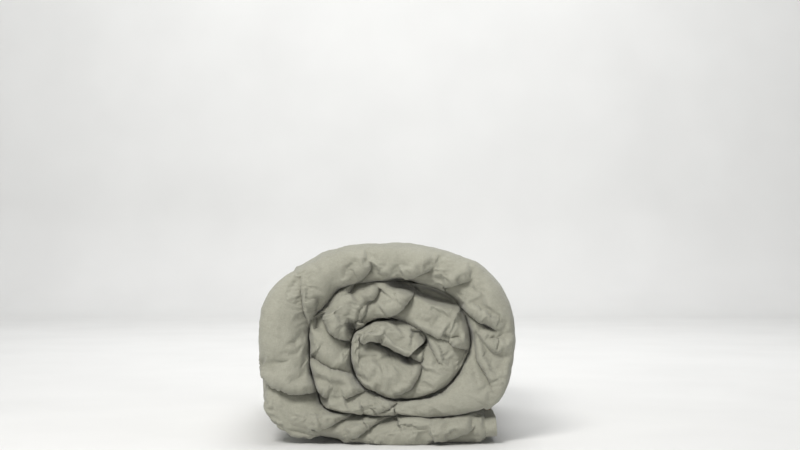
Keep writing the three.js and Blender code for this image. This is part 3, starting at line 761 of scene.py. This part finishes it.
def tube_object(name, points, material, normals=None, around=None, along=None):
    """A closed mesh from rings of points, shape (rings, ring, 3), with its two ends filled in."""
    rows, ring = points.shape[:2]
    if around is None:
        middle = points[rows // 2]
        around = running(np.linalg.norm(np.roll(middle, -1, 0) - middle, axis=-1))
        along = running(np.linalg.norm(np.diff(points.mean(1), axis=0), axis=-1))
    edges = (along[:-1, None], along[1:, None], around[:-1], around[1:])
    low, high, left, right = (np.broadcast_to(edge, (rows - 1, ring)) for edge in edges)
    sides = np.stack([low, left, low, right, high, right, high, left], -1).reshape(-1, 2)
    uvs = np.concatenate([sides, points[0][::-1, 1:], points[-1][:, 1:]])
    return mesh_object(name, points.reshape(-1, 3), closed_faces(rows, ring), material, normals, uvs)


# ---- the opening at the tail: hems, stitching, buttons and label ----
class Opening:
    """The frame that the hems stand in: out from the tail's end, along Y, and across its thickness."""

    def __init__(self):
        end = np.array(TAIL_ANGLE)
        self.origin, inner = outer_curve(end), inner_curve(end)
        self.thickness = float(np.linalg.norm(inner - self.origin))
        self.across = (inner - self.origin) / self.thickness
        self.out = np.array([self.across[1], -self.across[0]])
        half = (self.thickness - FOLD_GAP) / 2
        self.outer_depth = half / 2 - HEM_GAP / 2 - HEM_WALL  # of the buttonhole band
        self.inner_depth = half / 2 + HEM_GAP / 2  # of the button band
        self.label_depth = self.thickness - half / 2

    def at(self, out, y, t):
        out, y, t = np.broadcast_arrays(out, y, t)
        flat = self.origin + out[..., None] * self.out + t[..., None] * self.across
        return np.stack([flat[..., 0], y, flat[..., 1]], -1)

    def path(self, depth, step=0.005):
        """Points y, t along a hem, from one end round the fold to the other, their normals, and how far on
        each one is."""
        back, fold = BACK - HEM_INSET, FRONT + NOSE_DEPTH
        straight = np.linspace(back, fold, round((back - fold) / step))
        swing = np.linspace(0, np.pi, 25)[1:-1]
        radius_y, radius_t = NOSE_DEPTH - depth, self.thickness / 2 - depth
        y = np.concatenate([straight, fold - radius_y * np.sin(swing), straight[::-1]])
        t = np.concatenate([
            np.full(len(straight), depth),
            self.thickness / 2 - radius_t * np.cos(swing),
            np.full(len(straight), self.thickness - depth),
        ])
        tangent = np.stack([np.gradient(y), np.gradient(t)], -1)
        tangent /= np.linalg.norm(tangent, axis=-1, keepdims=True)
        normal = np.stack([tangent[:, 1], -tangent[:, 0]], -1)
        return y, t, normal, running(np.hypot(np.diff(y), np.diff(t)))


HEM_TUCK = 0.003  # how far a hem runs on inside the tail's end
HEM_WAVE = 0.0016
HEM_RAGGED = 0.0006  # how far its free edge wanders
HEM_DISH = 0.0002  # how far its outside stands out between its rows of stitches
STITCH_LENGTH, STITCH_STEP, STITCH_RADIUS = 0.0028, 0.0040, 0.00028
STITCH_ROWS = (0.0022, 0.0155)  # out from the tail's end
STITCHES_FROM, STITCHES_TO = 0.004, 0.006  # how far from a hem's two ends they start and stop
STITCH_LIFT = 0.00005  # of a stitch's middle over the cloth


def hem_wave(run, out):
    """Both hems wave together, more at their free edge."""
    wave = noise(run / 0.045, 0 * run, 6) + 0.4 * noise(run / 0.018, 0 * run, 7)
    return HEM_WAVE * np.clip(out / FLANGE, 0, 1) * wave


def hem_band(name, opening, depth, material):
    """A flat folded hem: its section is a long thin loop, carried round the fold."""
    y, t, normal, run = opening.path(depth)
    outs = np.array([-HEM_TUCK, 0, 0.004, 0.008, 0.012, 0.016, FLANGE - HEM_RAGGED])
    loop_out = np.concatenate([outs, [FLANGE, FLANGE], outs[::-1]])
    loop_in = np.concatenate([0 * outs, [0.3, 0.7], 0 * outs + 1]) * HEM_WALL
    loop_in[[2, 3, 4]] -= HEM_DISH
    out = loop_out + HEM_RAGGED * noise(run / 0.03, 0 * run, 8)[:, None] * (loop_out > 0)
    offset = hem_wave(run[:, None], out) - loop_in
    points = opening.at(out, y[:, None] + offset * normal[:, :1], t[:, None] + offset * normal[:, 1:])
    return tube_object(name, points, material)


BEAD_PROFILE = ((0, 0.35), (0.12, 0.9), (0.5, 1.05), (0.88, 0.9), (1, 0.35))  # (share of its length, width)


def bead_row(starts, ends, radius, sides=5):
    """Short thread stitches, each a closed capsule from start to end."""
    points, faces = [], []
    swing = np.linspace(0, 2 * np.pi, sides, endpoint=False)
    bead = closed_faces(len(BEAD_PROFILE), sides)
    for a, b in zip(starts, ends):
        along = (b - a) / np.linalg.norm(b - a)
        helper = (0, 0, 1) if abs(along[2]) < 0.9 else (1, 0, 0)
        side = np.cross(along, helper)
        side /= np.linalg.norm(side)
        up = np.cross(along, side)
        faces.extend([i + len(points) for i in face] for face in bead)
        for share, wide in BEAD_PROFILE:
            centre = a + (b - a) * share
            points.extend(centre + radius * wide * (np.cos(w) * side + np.sin(w) * up) for w in swing)
    return np.array(points), faces


def hem_stitches(opening, depth, outside):
    """Where the stitches of a hem start, and where they end."""
    y, t, normal, run = opening.path(depth)
    begin = np.arange(STITCHES_FROM, run[-1] - STITCHES_TO, STITCH_STEP)
    level = STITCH_LIFT if outside else -HEM_WALL - STITCH_LIFT

    def stitch_ends(at):
        y_at, t_at, normal_y, normal_t = (np.interp(at, run, values) for values in (y, t, *normal.T))
        lifts = [(out, level + hem_wave(at, out)) for out in STITCH_ROWS]
        return np.concatenate([opening.at(o, y_at + up * normal_y, t_at + up * normal_t) for o, up in lifts])

    return stitch_ends(begin), stitch_ends(begin + STITCH_LENGTH)


BUTTON_RADIUS, BUTTON_THICKNESS, BUTTON_RIM = 0.0065, 0.0024, 0.0007
HOLE_RADIUS, HOLE_SPACING, HOLE_SIDES = 0.0009, 0.0017, 16
BUTTON_SIDES = 40
HOLES = ((1, 1), (-1, 1), (-1, -1), (1, -1))
THREAD_RADIUS, THREAD_RISE, THREAD_REACH = 0.00042, 0.0002, 0.0005
BUTTONHOLE_LENGTH, BUTTONHOLE_EDGES, SATIN_STITCHES, SATIN_RADIUS = 0.019, (0.0006, 0.0022), 26, 0.00034


def button_mesh(material):
    """A turned button with a raised rim, a shallow dish and four drilled holes, its back at zero."""
    r, h, rim = BUTTON_RADIUS, BUTTON_THICKNESS, BUTTON_RIM
    profile = [
        (0.0001, 0), (r - 2 * rim, 0), (r - 0.6 * rim, 0.2 * rim), (r - 0.1 * rim, 0.7 * rim),
        (r, 1.3 * rim), (r, h - 1.2 * rim), (r - 0.2 * rim, h - 0.45 * rim), (r - 0.7 * rim, h - 0.05 * rim),
        (r - 1.3 * rim, h - 0.1 * rim), (r - 1.9 * rim, h - 0.7 * rim), (r - 2.6 * rim, h - rim),
        (0.0001, h - rim),
    ]
    swing = np.linspace(0, 2 * np.pi, BUTTON_SIDES, endpoint=False)
    rings = np.array([[(p * np.cos(w), p * np.sin(w), z) for w in swing] for p, z in profile])
    body = tube_object("button_body", rings, material)
    cutters = []
    for x, y in HOLES:
        at = (x * HOLE_SPACING, y * HOLE_SPACING, h / 2)
        bpy.ops.mesh.primitive_cylinder_add(vertices=HOLE_SIDES, radius=HOLE_RADIUS, depth=3 * h, location=at)
        cutters.append(bpy.context.object)
        cut = body.modifiers.new("hole", "BOOLEAN")
        cut.operation, cut.object, cut.solver = "DIFFERENCE", cutters[-1], "EXACT"
    drilled = bpy.data.meshes.new_from_object(body.evaluated_get(bpy.context.evaluated_depsgraph_get()))
    for made in (body, *cutters):
        bpy.data.objects.remove(made, do_unlink=True)
    drilled.polygons.foreach_set("use_smooth", [True] * len(drilled.polygons))
    drilled.set_sharp_from_angle(angle=math.radians(40))
    return drilled


def button_thread(local):
    """Thread through the holes, and the satin stitches round the buttonhole, which runs along the hem."""
    low, top = -BUTTON_THICKNESS / 2 - THREAD_REACH, BUTTON_THICKNESS / 2 - BUTTON_RIM + THREAD_RISE
    s = HOLE_SPACING
    over = 0.00015  # how far a second thread lies over the first
    starts = [local(-s, s, top), local(-s, -s, top), local(-s, s + THREAD_RISE, top + over)]
    ends = [local(s, s, top), local(s, -s, top), local(s, s + THREAD_RISE, top + over)]
    for x, y in HOLES:
        starts.append(local(x * s, y * s, top))
        ends.append(local(x * s, y * s, low))
    points, faces = bead_row(starts, ends, THREAD_RADIUS, 6)
    satin = [
        [local(edge * reach, (k / (SATIN_STITCHES - 1) - 0.5) * BUTTONHOLE_LENGTH, low + 0.0001)
         for k in range(SATIN_STITCHES) for edge in (-1, 1)]
        for reach in BUTTONHOLE_EDGES
    ]
    more, more_faces = bead_row(*satin, SATIN_RADIUS, 5)
    faces += [[i + len(points) for i in face] for face in more_faces]
    return np.concatenate([points, more]), faces


def add_buttons(button_material, thread_material):
    """Each button lies where the CAD has it, with its thread through the holes and its worked buttonhole."""
    mesh = button_mesh(button_material)
    opening = Opening()
    for number in range(1, 7):
        node = f"button_{number}"
        low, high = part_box(node)
        centre = Vector((np.array(low) + np.array(high)) / 2)
        up = Vector((opening.across[0], 0, opening.across[1])) * (-1 if number <= 3 else 1)
        side = Vector((opening.out[0], 0, opening.out[1]))
        turn = Matrix((side, up.cross(side), up)).transposed().to_4x4()
        made = new_object(f"turned_button_{number}", mesh.copy())
        made.data.transform(Matrix.Translation(centre - up * BUTTON_THICKNESS / 2) @ turn)
        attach(made, "tail")
        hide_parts(node)

        def local(x, y, z):
            return np.array(centre + side * x + up.cross(side) * y + up * z)

        thread = mesh_object(f"button_thread_{number}", *button_thread(local), thread_material)
        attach(thread, "tail")


def add_hems(cloth, thread_material):
    opening = Opening()
    for name, node, depth, outside in (
        ("hem_with_buttonholes", "buttonhole_band", opening.outer_depth, True),
        ("hem_with_buttons", "button_band", opening.inner_depth, False),
    ):
        hem = hem_band(name, opening, depth, cloth)
        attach(hem, "tail")
        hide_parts(node)
        points, faces = bead_row(*hem_stitches(opening, depth, outside), STITCH_RADIUS)
        stitching = mesh_object(f"{name}_stitching", points, faces, thread_material)
        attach(stitching, "tail")


LABEL_REACH, LABEL_BEND, LABEL_THICKNESS, LABEL_BOW = 0.0145, 0.0007, 0.0003, 0.0005


def add_label(tape):
    """A blank label: a strip of tape folded in two like a hairpin, its ends at the tail's end."""
    opening = Opening()
    low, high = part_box("care_label")
    middle, width = (low[1] + high[1]) / 2, float(high[1] - low[1])
    straight = np.linspace(0, LABEL_REACH - LABEL_BEND, 6)[:-1]
    swing = np.linspace(-np.pi / 2, np.pi / 2, 9)

    def hairpin(radius):
        out = np.concatenate([straight, LABEL_REACH - LABEL_BEND + radius * np.cos(swing), straight[::-1]])
        return out, np.concatenate([-radius + 0 * straight, radius * np.sin(swing), radius + 0 * straight])

    outer, inner = (hairpin(LABEL_BEND + side * LABEL_THICKNESS / 2) for side in (1, -1))
    out, across = (np.concatenate([outer[i], inner[i][::-1]]) for i in (0, 1))
    rows = np.linspace(-width / 2, width / 2, 9)[:, None]
    bow = LABEL_BOW * np.cos(5 * rows / width) * out / LABEL_REACH
    points = opening.at(out, middle + rows, opening.label_depth + across + bow)
    label = tube_object("blank_care_label", points, tape)
    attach(label, "tail")
    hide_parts("care_label")


# ---- camera, light and stage ----
CAMERA_PLACE, CAMERA_LENS = (0.028, -3.35, 0.404), 73.8
LIGHTS = (  # name, place, target, size, power, colour
    ("key", (-0.9, -2.5, 2.4), (0, 0, 0.15), 1.1, 84, (1.0, 0.985, 0.96)),
    ("above", (0.5, 0.0, 3.4), (0, 0, 0), 2.4, 44, (1, 1, 1)),
    ("low", (0.3, -3.3, 0.22), (0, 0, 0), 0.9, 17, (1, 1, 1)),
    ("backdrop", (0.0, 1.6, 3.4), (0.0, 4.3, 0.9), 2.0, 92, (1, 1, 1)),
)
WORLD_COLOR, WORLD_STRENGTH = (0.97, 0.985, 1.0, 1), 0.27
STAGE_REACH, WALL_AT, WALL_CURVE, WALL_HEIGHT, CURVE_STEPS = 12.0, 4.3, 0.5, 6.0, 12
PAPER = [(0.3, (0.71, 0.71, 0.70, 1)), (0.7, (0.74, 0.74, 0.73, 1))]


def add_camera():
    data = bpy.data.cameras.new("camera")
    data.lens = CAMERA_LENS
    data.sensor_width = 36
    made = new_object("camera", data)
    made.location = CAMERA_PLACE
    made.rotation_euler = (math.pi / 2, 0, 0)
    bpy.context.scene.camera = made


def add_stage():
    """A pale floor that curves up into a pale wall well behind the roll, and soft light."""
    start = WALL_AT - WALL_CURVE
    profile = [(-STAGE_REACH, 0.0), (start, 0.0)]
    for i in range(CURVE_STEPS):
        turn = math.pi / 2 * (i + 1) / CURVE_STEPS
        profile.append((start + WALL_CURVE * math.sin(turn), WALL_CURVE - WALL_CURVE * math.cos(turn)))
    profile.append((WALL_AT, WALL_HEIGHT))
    points = np.array([(x, y, z) for y, z in profile for x in (-STAGE_REACH, STAGE_REACH)])
    faces = [[2 * i, 2 * i + 1, 2 * i + 3, 2 * i + 2] for i in range(len(profile) - 1)]
    m = Nodes("studio_paper")
    paper = m.finish(m.ramp(m.noise(m.space(), 3.0), PAPER), 0.85)
    mesh_object("studio", points, faces, paper)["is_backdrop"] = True
    world = bpy.data.worlds.new("studio_light")
    bpy.context.scene.world = world
    world.use_nodes = True
    inputs = world.node_tree.nodes["Background"].inputs
    inputs["Color"].default_value = WORLD_COLOR
    inputs["Strength"].default_value = WORLD_STRENGTH
    for name, place_at, target, size, power, color in LIGHTS:
        data = bpy.data.lights.new(name, "AREA")
        data.shape, data.size, data.energy, data.color = "DISK", size, power, color
        made = new_object(name, data)
        made.location = place_at
        made.rotation_euler = (Vector(target) - made.location).to_track_quat("-Z", "Y").to_euler()


# ---- the duvet, and everything together ----
LINEN_PALE, LINEN_DARK = (0.385, 0.380, 0.315, 1), (0.255, 0.252, 0.204, 1)
THREAD_PALE, THREAD_DARK = (0.50, 0.49, 0.42, 1), (0.33, 0.32, 0.26, 1)
TAPE_PALE, TAPE_DARK, TAPE_THREAD = (0.66, 0.65, 0.60, 1), (0.52, 0.51, 0.46, 1), 0.0005
HORN = [(0.30, (0.055, 0.036, 0.022, 1)), (0.50, (0.19, 0.13, 0.075, 1)), (0.70, (0.42, 0.32, 0.20, 1))]
MEASURED_RING = 200  # the ring that the cloth's threads are spaced by
LAYERS = ("cover_face", "cover_reverse", "insert_shell", "filling")


def shaped_band():
    grid = band_grid(STATION_STEP)
    add_nudges(grid)
    add_wrinkles(grid)
    depth = add_pleats(grid)
    simulate(grid, depth)
    rest_on_floor(grid)
    return grid


def add_duvet(cloth):
    """The band in nine pieces: the tail, the roll and the strips between them."""
    grid = shaped_band()
    cuts, ring = grid["cuts"], grid["points"][MEASURED_RING]
    normals = grid_normals(grid["points"])
    around = running(np.linalg.norm(np.diff(ring, axis=0, append=ring[:1]), axis=-1))
    names = ["duvet_tail"] + [f"duvet_strip_{i}" for i in range(1, 8)] + ["duvet_roll"]
    pieces = []
    for name, first, last in zip(names, cuts, cuts[1:]):
        part = slice(first, last + 1)
        own = normals[part].reshape(-1, 3)
        pieces.append(tube_object(name, grid["points"][part], cloth, own, around, grid["runs"][part]))
    inner = inner_curve(grid["angles"])
    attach(pieces[0], "tail")
    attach(pieces[-1], "roll")
    for i, piece in enumerate(pieces[1:-1]):
        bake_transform(piece)
    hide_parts(*(f"{layer}_tail" for layer in LAYERS), "corner_tie_1", "corner_tie_2")
    for i in range(1, 7):
        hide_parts(*(f"{layer}_length_{i}" for layer in LAYERS))
    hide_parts(*(f"{layer}_roll" for layer in LAYERS[:3]), "corner_tie_3", "corner_tie_4")
    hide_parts(*(f"filling_pocket_{i}" for i in range(1, 10)))


def main():
    bpy.context.scene.view_settings.view_transform = "Standard"
    add_camera()
    add_stage()
    cloth = linen("cover_linen", LINEN_PALE, LINEN_DARK)
    thread = twisted_thread("sewing_thread", THREAD_PALE, THREAD_DARK)
    add_duvet(cloth)
    add_hems(cloth, thread)
    add_label(linen("label_tape", TAPE_PALE, TAPE_DARK, TAPE_THREAD))
    add_buttons(carved_horn("button_horn", HORN), thread)


main()
[[list(map(float, corner)) for corner in box] for box in (cad_box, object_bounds())]
